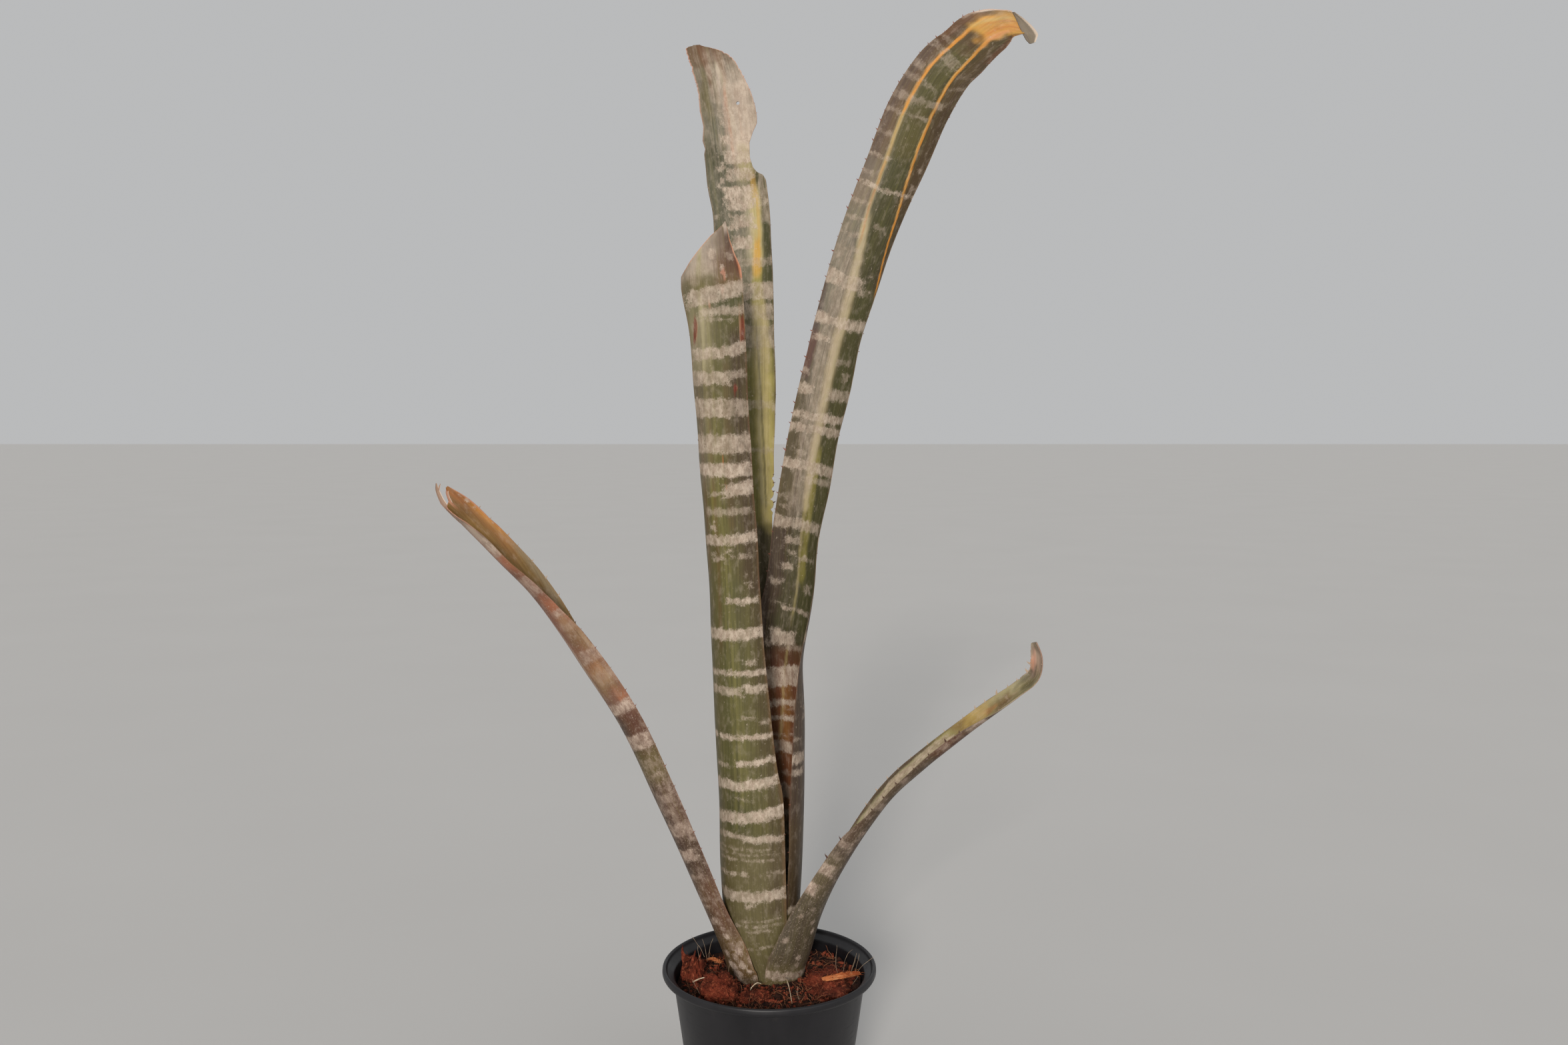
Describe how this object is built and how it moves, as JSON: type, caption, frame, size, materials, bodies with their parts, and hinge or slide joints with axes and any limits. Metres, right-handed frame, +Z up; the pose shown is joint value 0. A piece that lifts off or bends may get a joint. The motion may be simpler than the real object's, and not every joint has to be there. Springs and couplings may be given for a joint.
{
  "type": "potted bromeliad",
  "caption": "Tank bromeliad with tall silver-banded strap leaves round a narrow tube, arching lower leaves, and coir mix in a plain black tapered nursery pot.",
  "frame": {"origin": "middle of the pot's underside, on the surface that it stands on", "axes": "+Z up along the plant, -Y towards the side where the front leaf shows its outer face, +X towards the tall arching leaf"},
  "size_m": [0.401, 0.15, 0.7966],
  "materials": {
    "pot_plastic": "satin moulded black plastic",
    "coir_mix": "damp crumbly coir",
    "stem_tissue": "dull, fibrous",
    "banded_leaf": "satin leaf with powdery silver bands",
    "old_leaf": "dull leaf, reddish brown with grey scurf",
    "coir": "fibrous husk",
    "husk_chip": "split dry husk",
    "pale_root": "dry, smooth"
  },
  "bodies": {
    "root": {"pot": "pot_plastic", "potting_mix": "coir_mix", "stem": "stem_tissue", "leaf_front": "banded_leaf", "leaf_back_left": "banded_leaf", "leaf_right_tall": "banded_leaf", "leaf_lower_left": "old_leaf", "leaf_lower_right": "old_leaf", "coir_chunk_left": "coir", "coir_chunk_front_left": "coir", "coir_chunk_front": "coir", "coir_mound_right": "coir", "bark_chip_right": "husk_chip", "bark_chip_left": "husk_chip", "twig_left": "pale_root", "root_front_left": "pale_root", "root_front_right": "pale_root"}
  },
  "joints": []
}
